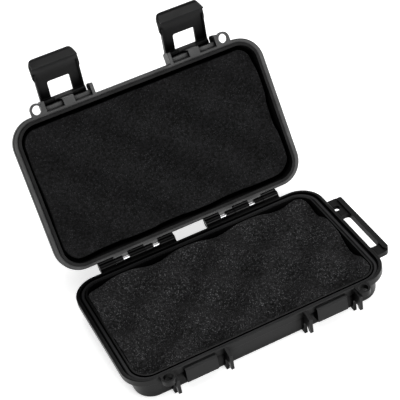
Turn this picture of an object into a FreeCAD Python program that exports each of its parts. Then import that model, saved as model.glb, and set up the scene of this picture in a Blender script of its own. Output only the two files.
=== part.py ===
import FreeCAD, Part
import math
import os

# A small hard case with its lid open, in millimetres. X runs along the length, the latches are
# on the -Y side, the hinges on the +Y side, and +Z is up. The origin is the centre of the base's
# underside. The lid and its latches are drawn closed and swung to the open pose at the end.

# Overall sizes
case_length = 210.0
case_width = 122.0
corner_radius = 20.0
base_height = 25.0
lid_height = 22.0

# Pose in the photograph
lid_open_angle = 119.7
latch_left_angle = 64.7
latch_right_angle = 60.1

# Clearances, and the overrun of a cut past the face it opens
seam_gap = 0.2
pin_clearance = 0.05
knuckle_gap = 0.3
latch_side_gap = 0.3
bracket_side_gap = 0.5
hook_gap = 0.3
stop_gap = 0.2
foam_gap = 0.5
foam_seat = 0.1
pin_setback = 0.2
overrun = 3.0

# Base shell: the rim is wider at the ends than along the front and back
base_flange_height = 6.2
flange_bevel = 0.6
outer_lip_end = 2.7
outer_lip_front = 2.0
channel_end = 7.7
channel_front = 5.5
channel_depth = 3.4
inner_lip = 1.1
inner_lip_drop = 1.2
base_wall = 3.2
base_floor = 3.5
base_draft = 1.2
base_round = 5.0
base_inner_bevel = 2.6

# Seal ring in the base's channel
seal_end = 4.2
seal_front = 2.4
seal_width = 2.4
seal_height = 1.8
seal_bevel = 0.5

# Lid shell: the tongue is the lid's wall carried past the seam
lid_flange_height = 6.0
tongue_end = 4.0
tongue_front = 2.8
tongue_wall = 2.4
tongue_drop = 1.6
lid_top = 2.4
lid_draft = 1.2
lid_round = 6.0
lid_inner_bevel = 3.0

# Hinges, two alike, each with three base knuckles and two lid knuckles
hinge_reach = 4.3
hinge_place_share = 0.432
hinge_barrel_radius = 3.1
hinge_pin_radius = 1.1
base_knuckle_width = 12.9
lid_knuckle_width = 6.7
pin_window = 5.5
pin_window_gap = 0.5
hinge_root = 1.0
hinge_shoulder = 1.0
hinge_rib_width = 2.6
hinge_rib_reach = 1.8
hinge_rib_bend_shares = (0.25, 0.5)
hinge_rib_foot_share = 0.33
stop_length = 3.2
stop_corner_angle = 20.0
lid_knuckle_count = 2

# Latches and the brackets they turn in
latch_place_share = 0.5
latch_reach = 5.0
latch_pivot_height = 16.5
latch_barrel_radius = 3.2
latch_pin_radius = 1.25
latch_width = 36.2
latch_flare = 1.0
latch_plate = 2.2
latch_lip_start = 22.5
latch_lip_radius = 16.4
latch_lip_angle = 44.0
latch_tip_bow_share = 0.33
latch_corner = 6.2
latch_window_width = 18.2
latch_window_length = 16.4
latch_window_round = 1.6
latch_rib = 1.2
latch_rib_depth = 1.5
latch_rib_length = 26.0
hook_reach = 2.8
hook_land = 0.9
hook_root_share = 0.5
hook_foot_share = 0.9
bracket_wall = 2.6
bracket_reach = 8.4
bracket_height = 5.0
bracket_knuckle_width = 14.6
bracket_web_width = 9.0
bracket_web_reach = 5.2
bracket_back_reach = 3.5
bracket_back_depth = 3.0
bracket_back_gap = 0.6

# Catch blocks and guard fins on the base's front
catch_width = 24.5
catch_reach = 3.0
catch_top = 2.0
catch_bottom = 14.5
catch_slope = 1.2
fin_gap = 0.3
fin_thickness = 2.4
fin_reach = 8.0
fin_top = 1.0
fin_shoulder = 3.4
fin_tip = 16.0
fin_tip_width = 2.6
fin_notch_height = 3.4
fin_rib_reach = 1.2

# Padlock eyelets
eyelet_offset = 25.6
eyelet_reach = 3.75
eyelet_hole_radius = 3.6
eyelet_radius = 5.2
eyelet_root = 1.0
lid_eyelet_height = 3.5
base_eyelet_height = 4.0
eyelet_gusset_drop = 13.0
eyelet_gusset_foot = 1.0
eyelet_gusset_setback = 0.2

# Carrying loop on the +X end
loop_half_length = 37.6
loop_reach = 12.8
loop_corner = 5.0
loop_top = 4.0
loop_thickness = 3.6
loop_bar = 4.0
loop_bar_rise = 2.0
loop_inset = 0.6
loop_slot_front = 27.5
loop_slot_back = 16.0
loop_slot_round = 2.5
loop_eye_near = 23.6
loop_eye_size = 6.2
loop_eye_round = 2.4

# Egg-crate foam pads: the distance from a peak to the next hollow, and half the height between them
foam_half_pitch = 26.65
foam_swing = 5.0
foam_turn = 45.0
base_foam_level = 5.5
base_foam_peak_x = -10.0
base_foam_peak_y = 9.0
lid_foam_level = 5.3
lid_foam_peak_x = -9.0
lid_foam_peak_y = 31.0
lid_foam_inset = 8.6

# Heights and axes that follow from the sizes above
lid_rim = base_height + seam_gap
hinge_y = case_width / 2 + hinge_reach
hinge_z = base_height + seam_gap / 2
latch_y = -case_width / 2 - latch_reach
latch_z = lid_rim + latch_pivot_height
front_y = -case_width / 2
back_y = case_width / 2
latch_x = case_length / 2 * latch_place_share
latch_tip_width = latch_width + 2 * latch_flare
fin_spacing = latch_tip_width + 2 * fin_gap + fin_thickness
eyelet_x = latch_x + eyelet_offset


def V(x, y, z):
    return FreeCAD.Vector(x, y, z)


def outline(inset_end, inset_front, z):
    """Rounded rectangle inside the case's outline, by its insets at the ends and at the front."""
    half_x = case_length / 2 - inset_end
    half_y = case_width / 2 - inset_front
    radius = corner_radius - (inset_end + inset_front) / 2
    return rounded(-half_x, half_x, -half_y, half_y, radius, z)


def rounded(x0, x1, y0, y1, radius, z):
    """Closed wire of a rectangle with round corners at height z."""
    bow = radius * (1 - math.cos(math.pi / 4))
    edges = []
    corners = [(x1, y0, -1, 1), (x1, y1, -1, -1), (x0, y1, 1, -1), (x0, y0, 1, 1)]
    starts = []
    ends = []
    mids = []
    for number, (x, y, inward_x, inward_y) in enumerate(corners):
        along_x = V(x + inward_x * radius, y, z)
        along_y = V(x, y + inward_y * radius, z)
        before, after = (along_x, along_y) if number % 2 == 0 else (along_y, along_x)
        starts.append(before)
        ends.append(after)
        mids.append(V(x + inward_x * bow, y + inward_y * bow, z))
    for number in range(len(corners)):
        edges.append(Part.Arc(starts[number], mids[number], ends[number]).toShape())
        edges.append(Part.makeLine(ends[number], starts[(number + 1) % len(corners)]))
    return Part.Wire(edges)


def upright(x0, x1, z0, z1, radius):
    """Plate with round corners that stands across Y, from the middle plane past the front."""
    wire = rounded(x0, x1, z0, z1, radius, 0)
    wire.rotate(V(0, 0, 0), V(1, 0, 0), 90)
    return Part.Face(wire).extrude(V(0, -case_width, 0))


def prism(wire, height):
    return Part.Face(wire).extrude(V(0, 0, height))


def tapered(low, high):
    return Part.makeLoft([low, high], True, True)


def edges_at(shape, z):
    """Edges that lie wholly at height z."""
    near = seam_gap / 2
    return [e for e in shape.Edges if all(abs(v.Z - z) < near for v in e.Vertexes)]


def side_plate(points, x0, x1):
    """Plate from x0 to x1 with a (y, z) outline. A point of two pairs is an arc: its middle and its end."""
    first = V(x0, points[0][0], points[0][1])
    at = first
    edges = []
    for point in points[1:]:
        if isinstance(point[0], tuple):
            middle = V(x0, point[0][0], point[0][1])
            end = V(x0, point[1][0], point[1][1])
            edges.append(Part.Arc(at, middle, end).toShape())
        else:
            end = V(x0, point[0], point[1])
            edges.append(Part.makeLine(at, end))
        at = end
    edges.append(Part.makeLine(at, first))
    return Part.Face(Part.Wire(edges)).extrude(V(x1 - x0, 0, 0))


def front_plate(points, y0, y1):
    """Plate from y0 to y1 with a straight-sided (x, z) outline."""
    corners = [V(x, y0, z) for x, z in points]
    return Part.Face(Part.makePolygon(corners + corners[:1])).extrude(V(0, y1 - y0, 0))


def barrel(y, z, radius, x0, x1):
    return Part.makeCylinder(radius, x1 - x0, V(x0, y, z), V(1, 0, 0))


def both_sides(shape):
    return [shape, shape.mirror(V(0, 0, 0), V(1, 0, 0))]


def swung(shape, y, z, angle):
    """A copy turned open about an axis along X."""
    copy = shape.copy()
    copy.rotate(V(0, y, z), V(1, 0, 0), -angle)
    return copy


def join(shapes):
    return shapes[0].multiFuse(shapes[1:]).removeSplitter()


def flange(low, high):
    """Outer flange of a shell, with its edges slightly broken."""
    block = prism(outline(0, 0, low), high - low)
    return block.makeChamfer(flange_bevel, edges_at(block, low) + edges_at(block, high))


def hinge_places(width, first, count):
    """Spans along X of knuckles of one width."""
    starts = [hinge_start + first + knuckle_step * n for n in range(count)]
    return [(start, start + width) for start in starts]


knuckle_step = base_knuckle_width + pin_window + lid_knuckle_width + knuckle_gap
hinge_length = base_knuckle_width + knuckle_step * lid_knuckle_count
hinge_start = case_length / 2 * hinge_place_share - hinge_length / 2
hinge_end = hinge_start + hinge_length
base_knuckles = hinge_places(base_knuckle_width, 0, lid_knuckle_count + 1)
lid_knuckles = hinge_places(lid_knuckle_width, base_knuckle_width + pin_window, lid_knuckle_count)
hinge_bore = barrel(hinge_y, hinge_z, hinge_pin_radius + pin_clearance, hinge_start - overrun,
                    hinge_end + overrun)


def base_knuckle(x0, x1):
    """Knuckle with its arm, the stop that holds the open lid, and a rib down to the underside."""
    radius = hinge_barrel_radius
    root = back_y - hinge_root
    flange_low = base_height - base_flange_height
    arm = [(root, base_height), (hinge_y, base_height), (hinge_y + radius, hinge_z), (root, flange_low)]
    facing = math.radians(180 - lid_open_angle)
    out = (math.cos(facing), math.sin(facing))
    along = (math.sin(facing), -math.cos(facing))
    reach = hinge_reach - stop_gap
    near = (hinge_y + reach * out[0], hinge_z + reach * out[1])
    far = (near[0] + stop_length * along[0], near[1] + stop_length * along[1])
    drop = math.radians(stop_corner_angle)
    under = (hinge_y + radius * math.cos(drop), hinge_z - radius * math.sin(drop))
    stop = [(hinge_y, hinge_z), near, far, under]
    wall_y = back_y - channel_front - inner_lip + base_wall
    foot = wall_y + hinge_rib_reach
    out_share, down_share = hinge_rib_bend_shares
    bend = (foot + (hinge_y - foot) * out_share, flange_low - base_flange_height * down_share)
    rib = [(wall_y - base_wall, flange_low), (hinge_y - hinge_reach / 2, flange_low + hinge_root),
           (bend, (foot, base_height * hinge_rib_foot_share)), (foot, 0),
           (wall_y - base_wall - base_round, 0), (wall_y - base_wall, base_round)]
    middle = (x0 + x1) / 2
    return [barrel(hinge_y, hinge_z, radius, x0, x1), side_plate(arm, x0, x1), side_plate(stop, x0, x1),
            side_plate(rib, middle - hinge_rib_width / 2, middle + hinge_rib_width / 2)]


def lid_knuckle(x0, x1):
    """Knuckle with an arm that rises into the lid's flange."""
    radius = hinge_barrel_radius
    root = back_y - hinge_root
    flange_high = lid_rim + lid_flange_height
    turn = math.pi / 4
    shoulder = (hinge_y + radius * math.cos(turn), hinge_z + radius * math.sin(turn))
    arm = [(root, lid_rim), (hinge_y, lid_rim), shoulder, (back_y + hinge_shoulder, flange_high),
           (root, flange_high)]
    return [barrel(hinge_y, hinge_z, radius, x0, x1), side_plate(arm, x0, x1)]


def trough(x0, x1, inner):
    """Trough of the base under a stretch of hinge, clear of the axis by the radius inner."""
    drop = math.radians(stop_corner_angle)
    radius = hinge_barrel_radius
    rear = (hinge_y + radius * math.cos(drop), hinge_z - radius * math.sin(drop))
    root = back_y - hinge_root
    arm = [(root, base_height), (hinge_y, base_height), rear, (root, base_height - base_flange_height)]
    return side_plate(arm, x0, x1).cut(barrel(hinge_y, hinge_z, inner, x0 - overrun, x1 + overrun))


def pin_web(x0, x1):
    """Web of the lid's flange that closes in on the bare stretch of a hinge pin."""
    near = hinge_y - hinge_pin_radius - pin_window_gap
    root = back_y - hinge_root
    high = lid_rim + lid_flange_height
    return side_plate([(root, lid_rim), (near, lid_rim), (near, high), (root, high)], x0, x1)


def eyelet(low, height):
    """Padlock eyelet on the +X side of the front, without its hole."""
    y = front_y - eyelet_reach
    ring = Part.makeCylinder(eyelet_radius, height, V(eyelet_x, y, low))
    web_low_x = eyelet_x - eyelet_radius
    web = Part.makeBox(2 * eyelet_radius, eyelet_reach + eyelet_root, height, V(web_low_x, y, low))
    return ring.fuse(web)


def eyelet_hole(low, height):
    start = V(eyelet_x, front_y - eyelet_reach, low - overrun)
    return Part.makeCylinder(eyelet_hole_radius, height + 2 * overrun, start)


def fin(x):
    """Guard fin beside a latch, with a notched lower edge that runs on as a rib to the underside."""
    wall_y = front_y + channel_front + inner_lip - base_wall
    tip_y = front_y - fin_reach
    inside = wall_y + base_wall / 2
    notch_y = tip_y + fin_tip_width
    rib_y = wall_y - fin_rib_reach
    tip_z = base_height - fin_tip
    arch = ((notch_y + rib_y) / 2, tip_z + fin_notch_height)
    shape = [(inside, base_height - fin_top), (front_y, base_height - fin_top),
             (tip_y, base_height - fin_shoulder), (tip_y, tip_z), (notch_y, tip_z),
             (arch, (rib_y, tip_z)), (rib_y, 0), (inside + base_round, 0), (inside, base_round)]
    return side_plate(shape, x - fin_thickness / 2, x + fin_thickness / 2)


def front_of_base():
    """Catch block, guard fins and eyelet of the +X side."""
    high = base_height - catch_top
    low = base_height - catch_bottom
    block = [(front_y + channel_front, high), (front_y - catch_reach + catch_slope, high),
             (front_y - catch_reach, high - catch_slope), (front_y - catch_reach, low),
             (front_y + channel_front, low)]
    parts = [side_plate(block, latch_x - catch_width / 2, latch_x + catch_width / 2)]
    for side in (-1, 1):
        parts.append(fin(latch_x + side * fin_spacing / 2))
    ring_low = base_height - base_eyelet_height
    parts.append(eyelet(ring_low, base_eyelet_height))
    near_x = latch_x + fin_spacing / 2
    far_x = eyelet_x + eyelet_radius
    gusset = [(near_x, ring_low), (far_x, ring_low), (far_x, base_height - base_flange_height),
              (near_x + eyelet_gusset_foot + fin_thickness, base_height - eyelet_gusset_drop),
              (near_x, base_height - eyelet_gusset_drop)]
    parts.append(front_plate(gusset, front_y + eyelet_gusset_setback, front_y + channel_front))
    return parts


def carrying_loop():
    """Strap loop on the +X end: a plate with a slot and a small eye, and a taller outer bar."""
    root_x = case_length / 2 - channel_end - inner_lip + base_wall / 2
    outer_x = case_length / 2 + loop_reach
    low = base_height - loop_top - loop_thickness
    span = (-loop_half_length, loop_half_length)
    frame = rounded(root_x - loop_corner, outer_x, span[0], span[1], loop_corner, low)
    body = prism(frame, loop_thickness)
    bar_round = loop_bar / 2
    bar_span = (span[0] + loop_corner / 2, span[1] - loop_corner / 2)
    bar = prism(rounded(outer_x - loop_bar, outer_x, bar_span[0], bar_span[1], bar_round - loop_inset, low),
                loop_thickness + loop_bar_rise)
    slot_x = case_length / 2 + loop_inset
    depth = loop_thickness + loop_bar_rise + 2 * overrun
    slot = prism(rounded(slot_x, outer_x - loop_bar, -loop_slot_front, loop_slot_back, loop_slot_round,
                         low - overrun), depth)
    eye = prism(rounded(slot_x, slot_x + loop_eye_size, loop_eye_near, loop_eye_near + loop_eye_size,
                        loop_eye_round, low - overrun), depth)
    inside = Part.makeBox(2 * loop_corner, 4 * loop_half_length, depth,
                          V(root_x - 2 * loop_corner, -2 * loop_half_length, low - overrun))
    return body.fuse(bar).cut(slot).cut(eye).cut(inside)


def make_base():
    wall_end = channel_end + inner_lip - base_wall
    wall_front = channel_front + inner_lip - base_wall
    flange_low = base_height - base_flange_height
    body = tapered(outline(wall_end + base_draft, wall_front + base_draft, 0),
                   outline(wall_end, wall_front, flange_low + flange_bevel))
    body = body.makeFillet(base_round, edges_at(body, 0))
    parts = [body, flange(flange_low, base_height), carrying_loop()]
    for x0, x1 in base_knuckles:
        for piece in base_knuckle(x0, x1):
            parts.extend(both_sides(piece))
    for x0, x1 in lid_knuckles:
        pin_end = x0 - knuckle_gap
        parts.extend(both_sides(trough(x0 - pin_window, pin_end, hinge_pin_radius + pin_window_gap)))
        parts.extend(both_sides(trough(pin_end, x1 + knuckle_gap, hinge_barrel_radius + pin_window_gap)))
    for piece in front_of_base():
        parts.extend(both_sides(piece))
    shell = join(parts)
    lip_end = channel_end + inner_lip
    lip_front = channel_front + inner_lip
    rise = base_height - base_floor
    growth = base_draft * overrun / rise
    cavity = tapered(outline(lip_end + base_draft, lip_front + base_draft, base_floor),
                     outline(lip_end - growth, lip_front - growth, base_height + overrun))
    cavity = cavity.makeChamfer(base_inner_bevel, edges_at(cavity, base_floor))
    channel_low = base_height - channel_depth
    channel = prism(outline(outer_lip_end, outer_lip_front, channel_low), channel_depth + overrun)
    lip = prism(outline(channel_end, channel_front, channel_low - overrun),
                channel_depth - inner_lip_drop + overrun)
    shell = shell.cut(channel.cut(lip)).cut(cavity)
    ring_hole = eyelet_hole(base_height - base_eyelet_height, base_eyelet_height)
    for cut in both_sides(hinge_bore) + both_sides(ring_hole):
        shell = shell.cut(cut)
    return shell


def make_seal():
    low = base_height - channel_depth
    ring = prism(outline(seal_end, seal_front, low), seal_height)
    hole = prism(outline(seal_end + seal_width, seal_front + seal_width, low - overrun),
                 seal_height + 2 * overrun)
    ring = ring.cut(hole)
    return ring.makeChamfer(seal_bevel, edges_at(ring, low + seal_height))


def bracket():
    """Middle knuckle that carries the latch on the +X side, with a low cheek beside each leg."""
    inside = front_y + tongue_front + tongue_wall / 2
    radius = latch_barrel_radius
    cheek_y = front_y - bracket_reach
    cheek_z = lid_rim + bracket_height
    cheek = [(inside, lid_rim), (cheek_y, lid_rim), (cheek_y, cheek_z), (inside, cheek_z)]
    back_low = lid_rim + bracket_back_depth
    back_high = latch_z - radius - bracket_back_gap
    back_front = front_y - bracket_back_reach
    back = [(inside, back_low), (back_front, back_low), (back_front, back_high), (inside, back_high)]
    web = [(inside, lid_rim), (front_y - bracket_web_reach, lid_rim), (front_y - bracket_web_reach, latch_z),
           (inside, latch_z)]
    near = latch_width / 2 + bracket_side_gap
    parts = []
    for side in (-1, 1):
        x0 = latch_x + side * near
        x1 = latch_x + side * (near + bracket_wall)
        parts.append(side_plate(cheek, min(x0, x1), max(x0, x1)))
    half_back = near + bracket_wall / 2
    parts.append(side_plate(back, latch_x - half_back, latch_x + half_back))
    parts.append(side_plate(web, latch_x - bracket_web_width / 2, latch_x + bracket_web_width / 2))
    half_knuckle = bracket_knuckle_width / 2
    parts.append(barrel(latch_y, latch_z, radius, latch_x - half_knuckle, latch_x + half_knuckle))
    parts.append(eyelet(lid_rim, lid_eyelet_height))
    return parts


def make_lid():
    high = lid_rim + lid_height
    low = lid_rim - tongue_drop
    body = tapered(outline(tongue_end, tongue_front, low),
                   outline(tongue_end + lid_draft, tongue_front + lid_draft, high))
    body = body.makeFillet(lid_round, edges_at(body, high))
    parts = [body, flange(lid_rim, lid_rim + lid_flange_height)]
    for x0, x1 in lid_knuckles:
        for piece in lid_knuckle(x0, x1):
            parts.extend(both_sides(piece))
        parts.extend(both_sides(pin_web(x0 - pin_window + knuckle_gap, x0)))
    for piece in bracket():
        parts.extend(both_sides(piece))
    shell = join(parts)
    ceiling = high - lid_top
    end = tongue_end + tongue_wall
    front = tongue_front + tongue_wall
    growth = lid_draft * overrun / (ceiling - low)
    cavity = tapered(outline(end - growth, front - growth, low - overrun),
                     outline(end + lid_draft, front + lid_draft, ceiling))
    cavity = cavity.makeChamfer(lid_inner_bevel, edges_at(cavity, ceiling))
    shell = shell.cut(cavity)
    ring_hole = eyelet_hole(lid_rim, lid_eyelet_height)
    for cut in both_sides(hinge_bore) + both_sides(latch_bore()) + both_sides(ring_hole):
        shell = shell.cut(cut)
    return shell


def latch_bore():
    """Bore of the +X latch's pin through the latch and the bracket's knuckle."""
    reach = latch_width / 2 + overrun
    return barrel(latch_y, latch_z, latch_pin_radius + pin_clearance, latch_x - reach, latch_x + reach)


def latch_point(out, down):
    """A (y, z) point of the closed latch by its distance out from the pivot and down from it."""
    return (latch_y - out, latch_z - down)


def lip_point(radius, out, share):
    """A point on the lip's bend, by the share of the bend's angle."""
    turn = math.radians(latch_lip_angle) * share
    return latch_point(out + radius * (1 - math.cos(turn)), latch_lip_start + radius * math.sin(turn))


def make_latch():
    """Latch of the +X side, closed: two legs, a hook and a lip bent outward."""
    middle = latch_x
    outer = latch_barrel_radius
    inner = outer - latch_plate
    inner_radius = latch_lip_radius + latch_plate
    tip_front = lip_point(latch_lip_radius, outer, 1)
    tip_back = lip_point(inner_radius, inner, 1)
    tip_mid = [(a + b) / 2 for a, b in zip(tip_front, tip_back)]
    turn = math.radians(latch_lip_angle)
    tip_bow = latch_plate * latch_tip_bow_share
    tip = (tip_mid[0] - tip_bow * math.sin(turn), tip_mid[1] - tip_bow * math.cos(turn))
    profile = [latch_point(inner, 0), latch_point(outer, 0), latch_point(outer, latch_lip_start),
               (lip_point(latch_lip_radius, outer, 1 / 2), tip_front), (tip, tip_back),
               (lip_point(inner_radius, inner, 1 / 2), latch_point(inner, latch_lip_start))]
    half_root = latch_width / 2
    half_tip = latch_tip_width / 2
    plate = side_plate(profile, middle - half_tip, middle + half_tip)
    catch_down = latch_z - (base_height - catch_bottom) + hook_gap
    hook_foot = lip_point(inner_radius, inner + latch_plate / 2, hook_foot_share)
    hook_root = lip_point(inner_radius, inner + latch_plate / 2, hook_root_share)
    hook = [latch_point(-hook_reach, catch_down), (hook_root[0], latch_z - catch_down), hook_foot,
            latch_point(-hook_reach, catch_down + hook_land)]
    plate = plate.fuse(side_plate(hook, middle - half_root, middle + half_root))
    tip_low = min(tip[1], tip_back[1])
    lip_high = latch_z - latch_lip_start
    lip = upright(middle - half_tip, middle + half_tip, tip_low, lip_high + latch_corner, latch_corner)
    legs = upright(middle - half_root, middle + half_root, tip_low, latch_z + latch_corner, latch_corner)
    plate = plate.common(lip.fuse(legs))
    window_low = latch_z - latch_window_length
    half_window = latch_window_width / 2
    plate = plate.cut(upright(middle - half_window, middle + half_window, window_low, latch_z + overrun,
                              latch_window_round))
    parts = [plate]
    near = bracket_knuckle_width / 2 + latch_side_gap
    for side in (-1, 1):
        x0 = middle + side * near
        x1 = middle + side * half_root
        parts.append(barrel(latch_y, latch_z, latch_barrel_radius, min(x0, x1), max(x0, x1)))
        edge = middle + side * half_root
        inside = edge - side * latch_rib
        rib = [latch_point(inner - latch_rib_depth, 0), latch_point(inner + latch_plate / 2, 0),
               latch_point(inner + latch_plate / 2, latch_rib_length), latch_point(inner, latch_rib_length),
               latch_point(inner - latch_rib_depth, latch_rib_length - latch_rib_depth)]
        parts.append(side_plate(rib, min(edge, inside), max(edge, inside)))
    return join(parts).cut(latch_bore())


def make_hinge_pin():
    return barrel(hinge_y, hinge_z, hinge_pin_radius, hinge_start + pin_setback, hinge_end - pin_setback)


def make_latch_pin():
    half = latch_width / 2 - pin_setback
    return barrel(latch_y, latch_z, latch_pin_radius, latch_x - half, latch_x + half)


def egg_crate(block, floor_z, level_z, swing, peak_x, peak_y):
    """A pad whose face rises and falls in chequered peaks and hollows, cut to the outline of block.

    The face is the sum of two waves at 45 degrees to the case: each row is a chain of arcs along one
    wave, and straight lines join it to the next row, which the other wave lifts or drops.
    """
    half_wave = foam_half_pitch / math.sqrt(2)
    row_step = half_wave / 2
    rise = swing / 2
    reach = math.hypot(case_length, case_width) / 2 + math.hypot(peak_x, peak_y)
    arcs = math.ceil(reach / half_wave)
    lines = math.ceil(reach / row_step)
    rows = []
    for j in range(-lines, lines):
        across = (j + 1 / 2) * row_step
        mean = level_z + rise * math.cos(math.pi * across / half_wave) / math.cos(math.pi / 4)
        start = V(-(arcs + 1 / 2) * half_wave, across, mean)
        left = start
        edges = []
        for k in range(-arcs, arcs + 1):
            bulge = rise if k % 2 == 0 else -rise
            middle = V(k * half_wave, across, mean + bulge)
            right = V((k + 1 / 2) * half_wave, across, mean)
            edges.append(Part.Arc(left, middle, right).toShape())
            left = right
        low_right = V(left.x, across, floor_z)
        low_left = V(start.x, across, floor_z)
        edges.append(Part.makeLine(left, low_right))
        edges.append(Part.makeLine(low_right, low_left))
        edges.append(Part.makeLine(low_left, start))
        rows.append(Part.Wire(edges))
    crate = Part.makeLoft(rows, True, True)
    crate.rotate(V(0, 0, 0), V(0, 0, 1), foam_turn)
    crate.translate(V(peak_x, peak_y, 0))
    return block.common(crate)


def make_base_foam():
    end = channel_end + inner_lip + foam_gap
    front = channel_front + inner_lip + foam_gap
    low = base_floor + foam_seat
    block = tapered(outline(end + base_draft, front + base_draft, low), outline(end, front, base_height))
    block = block.makeChamfer(base_inner_bevel, edges_at(block, low))
    return egg_crate(block, low - overrun, base_height - base_foam_level, foam_swing, base_foam_peak_x,
                     base_foam_peak_y)


def make_lid_foam():
    high = lid_rim + lid_height - lid_top - foam_seat
    block = prism(outline(lid_foam_inset, lid_foam_inset, lid_rim), high - lid_rim)
    block = block.makeChamfer(lid_inner_bevel, edges_at(block, high))
    return egg_crate(block, high + overrun, lid_rim + lid_foam_level, -foam_swing, lid_foam_peak_x,
                     lid_foam_peak_y)


def opened(shape):
    """Move a piece of the lid from closed to the open pose."""
    return swung(shape, hinge_y, hinge_z, lid_open_angle)


latch_right, latch_left = both_sides(make_latch())
latch_pin_right, latch_pin_left = both_sides(make_latch_pin())
hinge_pin_right, hinge_pin_left = both_sides(make_hinge_pin())
nodes = {
    "base_shell": make_base(),
    "seal_ring": make_seal(),
    "base_foam": make_base_foam(),
    "hinge_pin_left": hinge_pin_left,
    "hinge_pin_right": hinge_pin_right,
    "lid_shell": opened(make_lid()),
    "lid_foam": opened(make_lid_foam()),
    "latch_pin_left": opened(latch_pin_left),
    "latch_pin_right": opened(latch_pin_right),
    "latch_left": opened(swung(latch_left, latch_y, latch_z, latch_left_angle)),
    "latch_right": opened(swung(latch_right, latch_y, latch_z, latch_right_angle)),
}
os.makedirs("parts", exist_ok=True)
for name, shape in nodes.items():
    solids = shape.Solids
    if len(solids) != 1 or not shape.isValid():
        raise ValueError(name + " is not one valid solid")
    solids[0].exportStep("parts/" + name + ".step")
    print(name, round(solids[0].Volume), solids[0].CenterOfMass, solids[0].BoundBox)
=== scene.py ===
import math

import bmesh
import bpy
from mathutils import Matrix, Vector, noise


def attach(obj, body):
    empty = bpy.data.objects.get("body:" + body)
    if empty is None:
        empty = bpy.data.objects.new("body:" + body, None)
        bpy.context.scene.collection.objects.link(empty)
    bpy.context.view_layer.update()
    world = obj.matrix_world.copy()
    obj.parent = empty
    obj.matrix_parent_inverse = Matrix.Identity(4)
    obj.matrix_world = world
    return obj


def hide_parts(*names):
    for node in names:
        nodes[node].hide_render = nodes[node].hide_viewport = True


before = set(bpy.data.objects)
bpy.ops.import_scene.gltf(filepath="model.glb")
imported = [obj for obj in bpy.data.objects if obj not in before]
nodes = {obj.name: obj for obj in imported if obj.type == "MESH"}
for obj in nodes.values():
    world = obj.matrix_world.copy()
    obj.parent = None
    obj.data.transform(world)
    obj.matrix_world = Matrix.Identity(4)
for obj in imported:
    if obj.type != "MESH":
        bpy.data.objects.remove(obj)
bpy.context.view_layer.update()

# Sizes in metres and angles in radians, the same as in the part's source
CASE_WIDTH = 0.122
BASE_HEIGHT = 0.025
LID_RIM = 0.0252
LID_OPEN = math.radians(119.7)
HINGE = Vector((0, 0.0653, 0.0251))
LATCH_X = 0.0525
FOAM_HALF_PITCH = 0.02665
FOAM_SWING = 0.0050
BASE_FOAM_LEVEL = BASE_HEIGHT - 0.0055
BASE_FOAM_PEAK = (-0.010, 0.009)
LID_FOAM_LEVEL = LID_RIM + 0.0053
LID_FOAM_PEAK = (-0.009, 0.031)

# Turns a piece made for the closed case to where the open lid carries it
OPENING = Matrix.Translation(HINGE) @ Matrix.Rotation(-LID_OPEN, 4, "X") @ Matrix.Translation(-HINGE)

# Hinge knuckles get painted shade, less gloss and a smoother finish: what is left of tone, gloss and
# roughness behind the case's back
KNUCKLE_START = CASE_WIDTH / 2
KNUCKLE_END = KNUCKLE_START + 0.0006
KNUCKLE_PAINTED_SHADE = 0.22
KNUCKLE_GLOSS = 0.80
KNUCKLE_ROUGHNESS = 0.45

# The lid's tongue gets painted shade and less gloss, measured down from the rim of the closed lid
TONGUE_START = LID_RIM - 0.0003
TONGUE_END = LID_RIM - 0.0008
TONGUE_PAINTED_SHADE = 0.22

# Base and seal get painted shade and less gloss towards the back left corner, along a line turned from the Y
# axis
CORNER_TURN = math.radians(-27)
CORNER_START = 0.0
CORNER_END = 0.06
CORNER_PAINTED_SHADE = 0.36

# Moulded plastic: how far crevices are looked for, what painted shade in them leaves of gloss and tone, its
# edges and its grain
CREVICE_REACH = 0.012
CREVICE_GLOSS = 0.05
CREVICE_PAINTED_SHADE = 0.06
EDGE_RADIUS = 0.0005
# Edges are lighter by wear and by a painted highlight
RUBBED_EDGE_AND_HIGHLIGHT = (0.050, 0.050, 0.052)
GRAIN_DEPTH = 0.00006

# Open-cell foam, with the name of the attribute that goes from 0 in a pad's hollows to 1 on its peaks
PORES_PER_METRE = 1300.0
PAINTED_GLINTS_PER_METRE = 1250.0
DARKEST_PORE = 0.35
STRUT_GAIN = 2.2
PORE_DEPTH = 0.0003
LUMP_DEPTH = 0.0005
HEIGHT = "height"

# Seal rubber, and steel with scratches that are long in X, along the pins
RUBBER_GRAIN_DEPTH = 0.00008
SCRATCH_STRETCH = (40.0, 5200.0, 5200.0)
SCRATCH_DEPTH = 0.00003

# Edge of a foam pad: its rounding, how far in it calms the waves, how much it fills them, and how wavy its
# cut is
PAD_EDGE_ROUND = 0.0007
PAD_EDGE_CALM = 0.014
PAD_EDGE_LIFT = 0.45
PAD_EDGE_WAVER = 0.0002
PAD_WAVER_SLANT = 20

# Face of a foam pad: flatter peaks, slow unevenness, and the points of its grid
PAD_FLATTEN = 0.12
PAD_UNEVEN = 0.0006
PAD_UNEVEN_SCALE = 45
PAD_UNEVEN_LAYER = 3.0
PAD_COLUMNS = 150
PAD_ROWS = 86
PAD_EDGE_STEPS = 5

# Walls above the lid's cheeks: distances from a latch's middle, and an outline of (y, rise above the rim)
CHEEK_NEAR = 0.01865
CHEEK_FAR = 0.02115
CHEEK_BEVEL = 0.0004
CHEEK_FRONT = -0.06935
CHEEK_BACK = -0.0578
CHEEK_LOW = 0.0030
CHEEK_HIGH = 0.0138
CHEEK_OUTLINE = [
    (CHEEK_FRONT, CHEEK_LOW),
    (CHEEK_FRONT, 0.0105),
    (-0.0690, 0.0122),
    (-0.0680, 0.0134),
    (-0.0666, CHEEK_HIGH),
    (CHEEK_BACK, CHEEK_HIGH),
    (CHEEK_BACK, CHEEK_LOW),
]

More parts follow.
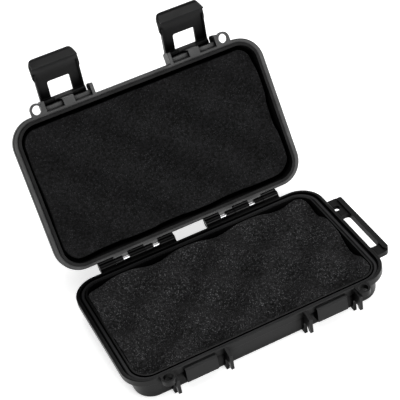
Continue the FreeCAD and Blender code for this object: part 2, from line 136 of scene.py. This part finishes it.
# Studio and camera
FLOOR_HALF = 4.0
FLOOR_GLOW = 0.62
FILL_LIGHT = 0.16
WHITE = (1.0, 1.0, 1.0, 1.0)
CAMERA_PLACE = Vector((-0.23031, -0.64927, 0.66345))
CAMERA_FORWARD = Vector((0.25002, 0.73473, -0.63060)).normalized()
CAMERA_RIGHT = Vector((0.89227, -0.42773, -0.14459)).normalized()
CAMERA_SENSOR = 36.0
CAMERA_LENS = 113.78
CAMERA_NEAR = 0.01
CAMERA_FAR = 20.0


# Helpers for materials

def new_material(name):
    """A node material with only a principled shader, its node tree and that shader."""
    material = bpy.data.materials.new(name)
    material.use_nodes = True
    tree = material.node_tree
    tree.nodes.clear()
    output = tree.nodes.new("ShaderNodeOutputMaterial")
    shader = tree.nodes.new("ShaderNodeBsdfPrincipled")
    tree.links.new(shader.outputs["BSDF"], output.inputs["Surface"])
    return material, tree, shader


def feed(tree, node, **inputs):
    """Link or set inputs of a node. A key of more than one word uses underscores."""
    for key, value in inputs.items():
        socket = node.inputs[key.replace("_", " ")]
        if isinstance(value, bpy.types.NodeSocket):
            tree.links.new(value, socket)
        else:
            socket.default_value = value


def add(tree, kind, **inputs):
    """A new node of this kind with these inputs."""
    node = tree.nodes.new(kind)
    feed(tree, node, **inputs)
    return node


def object_place(tree):
    """Places in the piece's own frame, which at rest is the frame of the whole part."""
    return tree.nodes.new("ShaderNodeTexCoord").outputs["Object"]


def object_noise(tree, scale, detail=2.0, roughness=0.5):
    """Smooth noise around 0.5, with scale as its number of features to the metre."""
    node = add(tree, "ShaderNodeTexNoise", Vector=object_place(tree), Scale=scale, Detail=detail,
               Roughness=roughness)
    return node.outputs["Fac"]


def ramp(tree, factor, stops):
    """A colour ramp from (position, colour or grey) stops."""
    node = add(tree, "ShaderNodeValToRGB", Fac=factor)
    elements = node.color_ramp.elements
    while len(elements) < len(stops):
        elements.new(0.5)
    for element, (position, colour) in zip(elements, stops):
        element.position = position
        rgb = (colour,) * 3 if isinstance(colour, float) else colour
        element.color = (*rgb, 1.0)
    return node.outputs["Color"]


def multiply(tree, first, second):
    """The product of two linked colours or masks."""
    node = tree.nodes.new("ShaderNodeMix")
    node.data_type = "RGBA"
    node.blend_type = "MULTIPLY"
    feed(tree, node, Factor=1.0, A=first, B=second)
    return node.outputs["Result"]


def blend(tree, factor, first, colour):
    """The linked colour first, turning into a set colour where factor is 1."""
    node = tree.nodes.new("ShaderNodeMix")
    node.data_type = "RGBA"
    feed(tree, node, Factor=factor, A=first, B=(*colour, 1.0))
    return node.outputs["Result"]


def crevices(tree, reach):
    """Near 0 deep in a crevice and 1 in the open, looking as far as reach."""
    shelter = add(tree, "ShaderNodeAmbientOcclusion", Distance=reach)
    shelter.samples = 8
    return shelter.outputs["AO"]


def edge_mask(tree, radius):
    """A mask near 1 on edges and 0 elsewhere, and the rounded normal that it comes from.

    The mask says how far the rounded normal turns from the true one.
    """
    rounded = add(tree, "ShaderNodeBevel", Radius=radius)
    rounded.samples = 4
    soft_normal = rounded.outputs["Normal"]
    true_normal = tree.nodes.new("ShaderNodeNewGeometry").outputs["Normal"]
    alike = tree.nodes.new("ShaderNodeVectorMath")
    alike.operation = "DOT_PRODUCT"
    tree.links.new(soft_normal, alike.inputs[0])
    tree.links.new(true_normal, alike.inputs[1])
    mask = ramp(tree, alike.outputs["Value"], [(0.80, 1.0), (0.995, 0.0)])
    return mask, soft_normal


def fade(tree, place, axis, start, end, low):
    """A mask that is 1 before start and low past end, along one axis of a place."""
    parts = add(tree, "ShaderNodeSeparateXYZ", Vector=place)
    span = add(tree, "ShaderNodeMapRange", Value=parts.outputs[axis], From_Min=start, From_Max=end)
    return ramp(tree, span.outputs["Result"], [(0.0, 1.0), (1.0, low)])


def closed_fade(tree, open_angle, axis, start, end, low):
    """The same mask along an axis of the closed case, for a shell that stands open by open_angle."""
    turn = Matrix.Rotation(open_angle, 3, "X")
    closed = add(tree, "ShaderNodeMapping", Vector=object_place(tree), Rotation=(open_angle, 0, 0),
                 Location=HINGE - turn @ HINGE)
    return fade(tree, closed.outputs["Vector"], axis, start, end, low)


def knuckle_shade_and_finish_mask(tree, open_angle, low):
    """Low on the hinge knuckles of a shell and 1 elsewhere; it paints shade there and sets their gloss and
    roughness.
    """
    return closed_fade(tree, open_angle, "Y", KNUCKLE_START, KNUCKLE_END, low)


def tongue_painted_shade_mask(tree):
    """Low on the lid's tongue and 1 elsewhere, for painted shade that also takes away gloss."""
    return closed_fade(tree, LID_OPEN, "Z", TONGUE_START, TONGUE_END, TONGUE_PAINTED_SHADE)


def corner_painted_shade_mask(tree):
    """Low in the base's back left corner, and 1 on its front and right, for painted shade that also takes
    away gloss.
    """
    turned = add(tree, "ShaderNodeMapping", Vector=object_place(tree), Rotation=(0, 0, CORNER_TURN))
    return fade(tree, turned.outputs["Vector"], "Y", CORNER_START, CORNER_END, CORNER_PAINTED_SHADE)


# Materials

def moulded_plastic(name, dark, light, rough, grain, shine, open_angle=None, painted_shade_mask=None):
    """Black moulded plastic: fine grain, uneven sheen, painted shade in crevices, and edges lighter by wear
    and by a painted highlight.

    A shell gives the angle that it stands open by, for its hinge knuckles, and a function for the mask of
    painted shade, with less gloss, on one more place of it. A latch gives neither.
    """
    material, tree, shader = new_material(name)
    mottle = object_noise(tree, scale=55.0, detail=4.0, roughness=0.6)
    tone = ramp(tree, mottle, [(0.3, dark), (0.75, light)])
    # Painted shade: crevices are darker and less glossy
    open_share = crevices(tree, CREVICE_REACH)
    gloss = ramp(tree, open_share, [(0.35, CREVICE_GLOSS * shine), (0.90, shine)])
    tone = multiply(tree, tone, ramp(tree, open_share, [(0.35, CREVICE_PAINTED_SHADE), (0.90, 1.0)]))
    # Edges are lighter by wear and by a painted highlight
    wear_and_highlight, soft_normal = edge_mask(tree, EDGE_RADIUS)
    rub = object_noise(tree, scale=240.0, detail=3.0)
    tone = blend(tree, multiply(tree, wear_and_highlight, rub), tone, RUBBED_EDGE_AND_HIGHLIGHT)
    sheen = object_noise(tree, scale=90.0, detail=3.0)
    roughness = ramp(tree, sheen, [(0.25, rough - 0.06), (0.8, rough + 0.07)])
    if open_angle is not None:
        # Painted shade on the hinge knuckles, which also lose gloss and get smoother
        tone = multiply(tree, tone, knuckle_shade_and_finish_mask(tree, open_angle, KNUCKLE_PAINTED_SHADE))
        gloss = multiply(tree, gloss, knuckle_shade_and_finish_mask(tree, open_angle, KNUCKLE_GLOSS))
        roughness = multiply(tree, roughness, knuckle_shade_and_finish_mask(tree, open_angle, KNUCKLE_ROUGHNESS))
        # Painted shade on one more place of the shell, which also takes away gloss
        painted_shade = painted_shade_mask(tree)
        gloss = multiply(tree, gloss, painted_shade)
        tone = multiply(tree, tone, painted_shade)
    fine = object_noise(tree, scale=3200.0)
    bump = add(tree, "ShaderNodeBump", Strength=grain, Distance=GRAIN_DEPTH, Height=fine, Normal=soft_normal)
    feed(tree, shader, Base_Color=tone, Roughness=roughness, Specular_IOR_Level=gloss,
         Normal=bump.outputs["Normal"])
    return material


def open_cell_foam(name, dark, light, painted_glint, hollow_shade_share):
    """Black open-cell foam: pores about 0.8 mm wide between thin struts, with painted glints here and there.

    Painted shade: the pad's hollows have hollow_shade_share of the brightness of its peaks.
    """
    material, tree, shader = new_material(name)
    place = object_place(tree)
    mottle = object_noise(tree, scale=60.0, detail=5.0, roughness=0.65)
    tone = ramp(tree, mottle, [(0.32, dark), (0.70, light)])
    # Painted shade in the pad's hollows
    height = tree.nodes.new("ShaderNodeAttribute")
    height.attribute_name = HEIGHT
    tone = multiply(tree, tone, ramp(tree, height.outputs["Fac"], [(0.1, hollow_shade_share), (0.9, 1.0)]))

    pores = add(tree, "ShaderNodeTexVoronoi", Vector=place, Scale=PORES_PER_METRE)
    pore_shade = add(tree, "ShaderNodeSeparateColor", Color=pores.outputs["Color"])
    tone = multiply(tree, tone, ramp(tree, pore_shade.outputs["Red"], [(0.0, DARKEST_PORE), (1.0, 1.0)]))
    walls = add(tree, "ShaderNodeTexVoronoi", Vector=place, Scale=PORES_PER_METRE)
    walls.feature = "DISTANCE_TO_EDGE"
    struts = ramp(tree, walls.outputs["Distance"], [(0.03, 1.0), (0.20, 0.0)])
    patches = object_noise(tree, scale=480.0)
    struts = multiply(tree, struts, ramp(tree, patches, [(0.38, 0.0), (0.66, 0.8)]))
    tone = blend(tree, struts, tone, tuple(STRUT_GAIN * part for part in light))

    # Painted glints: small bright specks set into the colour
    spots = add(tree, "ShaderNodeTexVoronoi", Vector=place, Scale=PAINTED_GLINTS_PER_METRE)
    chance = add(tree, "ShaderNodeSeparateColor", Color=spots.outputs["Color"])
    painted_glints = ramp(tree, spots.outputs["Distance"], [(0.18, 1.0), (0.46, 0.0)])
    painted_glints = multiply(tree, painted_glints, ramp(tree, chance.outputs["Green"], [(0.62, 0.0), (0.95, 1.0)]))
    painted_glints = multiply(tree, painted_glints, ramp(tree, mottle, [(0.30, 0.35), (0.65, 1.0)]))
    tone = blend(tree, painted_glints, tone, painted_glint)

    lumps = object_noise(tree, scale=520.0, detail=3.0)
    pitted = add(tree, "ShaderNodeBump", Strength=0.8, Distance=PORE_DEPTH, Height=walls.outputs["Distance"])
    lumpy = add(tree, "ShaderNodeBump", Strength=0.4, Distance=LUMP_DEPTH, Height=lumps,
                Normal=pitted.outputs["Normal"])
    feed(tree, shader, Base_Color=tone, Roughness=0.95, Specular_IOR_Level=0.12,
         Normal=lumpy.outputs["Normal"])
    return material


def seal_rubber(name, dark, light):
    """Matt rubber with a faint bloom, which is lighter, rougher and less glossy."""
    material, tree, shader = new_material(name)
    bloom = object_noise(tree, scale=120.0, detail=4.0, roughness=0.6)
    # Painted shade towards the back left corner, which also takes away gloss
    painted_shade = corner_painted_shade_mask(tree)
    tone = multiply(tree, ramp(tree, bloom, [(0.3, dark), (0.8, light)]), painted_shade)
    gloss = multiply(tree, ramp(tree, bloom, [(0.2, 0.40), (0.8, 0.28)]), painted_shade)
    roughness = ramp(tree, bloom, [(0.2, 0.55), (0.8, 0.72)])
    fine = object_noise(tree, scale=1800.0)
    bump = add(tree, "ShaderNodeBump", Strength=0.25, Distance=RUBBER_GRAIN_DEPTH, Height=fine)
    feed(tree, shader, Base_Color=tone, Roughness=roughness, Specular_IOR_Level=gloss,
         Normal=bump.outputs["Normal"])
    return material


def drawn_steel(name, dark, light):
    """Bright drawn wire, with fine scratches along its length."""
    material, tree, shader = new_material(name)
    stretched = add(tree, "ShaderNodeMapping", Vector=object_place(tree), Scale=SCRATCH_STRETCH)
    noise_node = add(tree, "ShaderNodeTexNoise", Vector=stretched.outputs["Vector"], Scale=1.0, Detail=3.0)
    scratches = noise_node.outputs["Fac"]
    tone = ramp(tree, scratches, [(0.3, dark), (0.7, light)])
    roughness = ramp(tree, scratches, [(0.3, 0.34), (0.7, 0.18)])
    bump = add(tree, "ShaderNodeBump", Strength=0.2, Distance=SCRATCH_DEPTH, Height=scratches)
    feed(tree, shader, Base_Color=tone, Roughness=roughness, Metallic=1.0, Normal=bump.outputs["Normal"])
    return material


def dress(node, material):
    """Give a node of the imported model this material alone."""
    slots = nodes[node].data.materials
    slots.clear()
    slots.append(material)


# One black plastic, with tone and gloss set lighter on the lid and darker on the base and latches for how
# light falls on each: painted light and shade
base_plastic_painted_darker = moulded_plastic(
    "base_plastic_painted_darker", dark=(0.0030, 0.0030, 0.0030), light=(0.0055, 0.0055, 0.0058),
    rough=0.38, grain=0.35, shine=0.18, open_angle=0.0, painted_shade_mask=corner_painted_shade_mask)
lid_plastic_painted_lighter = moulded_plastic(
    "lid_plastic_painted_lighter", dark=(0.0045, 0.0045, 0.0045), light=(0.0080, 0.0080, 0.0084),
    rough=0.44, grain=0.35, shine=0.46, open_angle=LID_OPEN, painted_shade_mask=tongue_painted_shade_mask)
latch_plastic_painted_darker = moulded_plastic(
    "latch_plastic_painted_darker", dark=(0.0025, 0.0025, 0.0025), light=(0.0045, 0.0045, 0.0048),
    rough=0.38, grain=0.22, shine=0.15)
# One foam, with the base's pad lighter and with more painted glints, and the lid's darker: painted light and
# shade
base_foam_painted_lighter = open_cell_foam(
    "base_foam", dark=(0.0078, 0.0078, 0.0078), light=(0.0152, 0.0152, 0.0157),
    painted_glint=(0.205, 0.205, 0.212), hollow_shade_share=0.58)
lid_foam_painted_darker = open_cell_foam(
    "lid_foam", dark=(0.0054, 0.0054, 0.0054), light=(0.0090, 0.0090, 0.0095),
    painted_glint=(0.065, 0.065, 0.068), hollow_shade_share=0.80)
seal_material = seal_rubber("seal", dark=(0.010, 0.010, 0.011), light=(0.022, 0.022, 0.023))
steel_material = drawn_steel("steel", dark=(0.36, 0.36, 0.37), light=(0.66, 0.66, 0.67))

dress("base_shell", base_plastic_painted_darker)
dress("lid_shell", lid_plastic_painted_lighter)
for node in ("latch_left", "latch_right"):
    dress(node, latch_plastic_painted_darker)
dress("seal_ring", seal_material)
for node in ("hinge_pin_left", "hinge_pin_right", "latch_pin_left", "latch_pin_right"):
    dress(node, steel_material)


# Helpers for meshes

def join_loops(mesh, first, second):
    """A band of quads between two closed loops with the same number of points."""
    for n in range(len(first)):
        after = (n + 1) % len(first)
        mesh.faces.new((first[n], second[n], second[after], first[after]))


def make_piece(name, mesh, material):
    """An object of the scene from a finished bmesh, which is freed."""
    bmesh.ops.recalc_face_normals(mesh, faces=mesh.faces)
    data = bpy.data.meshes.new(name)
    mesh.to_mesh(data)
    mesh.free()
    data.materials.append(material)
    piece = bpy.data.objects.new(name, data)
    bpy.context.scene.collection.objects.link(piece)
    return piece


# Foam pads

def spread(count, edge):
    """Positions from -1 to 1, closer together in a margin at both ends, where the pad's edge is rounded."""
    inner = 1 - edge
    margin = [-1 + edge * n / PAD_EDGE_STEPS for n in range(PAD_EDGE_STEPS)]
    middle = [-inner + 2 * inner * n / (count - 1) for n in range(count)]
    return margin + middle + [-x for x in reversed(margin)]


def foam_pad(name, material, half_length, half_width, corner, back_z, level_z, up, peak, edge_depth_share):
    """Egg-crate pad: a closed mesh whose face swells into chequered peaks, with a rounded, wavy edge.

    up is 1 where the face looks up and -1 where it looks down, and peak is the place of one peak. At the
    pad's edge the peaks are broader, and the hollows only edge_depth_share as deep as further in.
    """
    def wave(x, y, inset):
        """How far the face swells out of its level at a place, which lies inset from the pad's edge."""
        across = math.cos(math.pi * (x - peak[0]) / FOAM_HALF_PITCH)
        along = math.cos(math.pi * (y - peak[1]) / FOAM_HALF_PITCH)
        lump = across * along
        inward = min(1.0, inset / PAD_EDGE_CALM)
        outward = 1 - inward * inward * (3 - 2 * inward)
        lump += PAD_EDGE_LIFT * outward * (1 - lump ** 2)
        if lump < 0:
            lump *= 1 - outward * (1 - edge_depth_share)
        spot = Vector((x * PAD_UNEVEN_SCALE, y * PAD_UNEVEN_SCALE, up * PAD_UNEVEN_LAYER))
        uneven = PAD_UNEVEN * noise.noise(spot)
        return FOAM_SWING * (lump - PAD_FLATTEN * lump ** 3) + uneven

    def half_span(y):
        """Half the pad's length at y, which is shorter at its round corners."""
        over = abs(y) - (half_width - corner)
        drawn = corner - math.sqrt(max(corner ** 2 - over ** 2, 0)) if over > 0 else 0
        return half_length - drawn

    def waver(x, y):
        """How far the cut edge at a place is drawn in."""
        turn = math.pi * (y - peak[1]) / FOAM_HALF_PITCH + x * PAD_WAVER_SLANT
        return PAD_EDGE_WAVER * (1 + math.cos(turn))

    mesh = bmesh.new()
    height = mesh.verts.layers.float.new(HEIGHT)
    columns = spread(PAD_COLUMNS, 2 * PAD_EDGE_ROUND / half_length)
    rows = spread(PAD_ROWS, 2 * PAD_EDGE_ROUND / half_width)
    grid = []
    for v in rows:
        y = v * half_width
        span = half_span(y)
        line = []
        for u in columns:
            x = u * (span - waver(math.copysign(span, u), y))
            inset = min(span - abs(x), half_width - abs(y))
            edge = max(0.0, 1 - inset / PAD_EDGE_ROUND)
            fall = PAD_EDGE_ROUND * (1 - math.sqrt(max(0.0, 1 - edge ** 2)))
            swell = wave(x, y, inset)
            point = mesh.verts.new((x, y, level_z + up * (swell - fall)))
            point[height] = 0.5 + 0.5 * swell / FOAM_SWING
            line.append(point)
        grid.append(line)
    for lower, upper in zip(grid, grid[1:]):
        for c in range(len(columns) - 1):
            mesh.faces.new((lower[c], lower[c + 1], upper[c + 1], upper[c]))

    right = [line[-1] for line in grid[1:-1]]
    left = [line[0] for line in grid[-2:0:-1]]
    rim = grid[0] + right + grid[-1][::-1] + left
    foot = [mesh.verts.new((point.co.x, point.co.y, back_z)) for point in rim]
    join_loops(mesh, rim, foot)
    mesh.faces.new(foot)

    pad = make_piece(name, mesh, material)
    # All faces but the flat back are smooth
    for polygon in pad.data.polygons:
        polygon.use_smooth = len(polygon.vertices) == 4
    return pad


base_pad = foam_pad(
    "base_foam_pad", base_foam_painted_lighter, half_length=0.0955, half_width=0.0537, corner=0.0120,
    back_z=0.0037, level_z=BASE_FOAM_LEVEL, up=1, peak=BASE_FOAM_PEAK, edge_depth_share=0.75)
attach(base_pad, "base")
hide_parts("base_foam")

lid_pad = foam_pad(
    "lid_foam_pad", lid_foam_painted_darker, half_length=0.0962, half_width=0.0522, corner=0.0112,
    back_z=0.0446, level_z=LID_FOAM_LEVEL, up=-1, peak=LID_FOAM_PEAK, edge_depth_share=0.12)
lid_pad.data.transform(OPENING)
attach(lid_pad, "lid")
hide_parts("lid_foam")


# Walls above the lid's cheeks

def cheek_backs(name, material):
    """Four thin walls that carry the low cheeks beside the latches higher, placed as in the closed case."""
    mesh = bmesh.new()
    for latch_x in (-LATCH_X, LATCH_X):
        for side in (-1, 1):
            loops = []
            for away in (CHEEK_NEAR, CHEEK_FAR):
                x = latch_x + side * away
                loops.append([mesh.verts.new((x, y, LID_RIM + rise)) for y, rise in CHEEK_OUTLINE])
            near, far = loops
            mesh.faces.new(near)
            mesh.faces.new(far)
            join_loops(mesh, near, far)
    bmesh.ops.bevel(mesh, geom=mesh.edges[:], offset=CHEEK_BEVEL, segments=2, affect="EDGES")
    return make_piece(name, mesh, material)


cheeks = cheek_backs("latch_cheek_backs", lid_plastic_painted_lighter)
cheeks.data.transform(OPENING)
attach(cheeks, "lid")


# Floor, light and camera

def floor():
    """A pale floor that glows a little, so that it stays nearly white."""
    corners = [(-FLOOR_HALF, -FLOOR_HALF, 0), (FLOOR_HALF, -FLOOR_HALF, 0),
               (FLOOR_HALF, FLOOR_HALF, 0), (-FLOOR_HALF, FLOOR_HALF, 0)]
    data = bpy.data.meshes.new("floor")
    data.from_pydata(corners, [], [(0, 1, 2, 3)])
    plane = bpy.data.objects.new("floor", data)
    bpy.context.scene.collection.objects.link(plane)
    material, tree, shader = new_material("floor")
    tone = ramp(tree, object_noise(tree, scale=3.0), [(0.2, 0.93), (0.8, 0.95)])
    feed(tree, shader, Base_Color=tone, Roughness=0.9, Specular_IOR_Level=0.1, Emission_Color=WHITE,
         Emission_Strength=FLOOR_GLOW)
    data.materials.append(material)
    # Keeps the glow off the matt surfaces above it
    plane.visible_diffuse = False


def softbox(name, place, target, size, power):
    """A rectangular area light at a place, turned to a target."""
    data = bpy.data.lights.new(name, "AREA")
    data.shape = "RECTANGLE"
    data.size, data.size_y = size
    data.energy = power
    light = bpy.data.objects.new(name, data)
    light.location = place
    light.rotation_mode = "QUATERNION"
    light.rotation_quaternion = (Vector(target) - Vector(place)).to_track_quat("-Z", "Y")
    bpy.context.scene.collection.objects.link(light)


floor()
softbox("top", place=(-0.1, 0.0, 1.5), target=(0, 0.05, 0), size=(1.2, 1.2), power=12.2)
softbox("front_low", place=(0.32, -1.10, 0.50), target=(0, 0.10, 0.08), size=(1.0, 0.6), power=12.0)
softbox("back_high", place=(0.35, 0.92, 1.27), target=(0, 0.15, 0.16), size=(0.6, 0.4), power=2.5)
softbox("right", place=(1.4, -0.2, 0.9), target=(0, 0.05, 0.05), size=(0.8, 1.0), power=3.0)

world = bpy.data.worlds.new("studio")
world.use_nodes = True
feed(world.node_tree, world.node_tree.nodes["Background"], Color=WHITE, Strength=FILL_LIGHT)
bpy.context.scene.world = world
bpy.context.scene.view_settings.view_transform = "Standard"

camera_data = bpy.data.cameras.new("camera")
camera_data.sensor_width = CAMERA_SENSOR
camera_data.lens = CAMERA_LENS
camera_data.clip_start = CAMERA_NEAR
camera_data.clip_end = CAMERA_FAR
camera = bpy.data.objects.new("camera", camera_data)
camera_up = CAMERA_RIGHT.cross(CAMERA_FORWARD)
camera_turn = Matrix((CAMERA_RIGHT, camera_up, -CAMERA_FORWARD)).transposed()
camera.matrix_world = Matrix.Translation(CAMERA_PLACE) @ camera_turn.to_4x4()
bpy.context.scene.collection.objects.link(camera)
bpy.context.scene.camera = camera
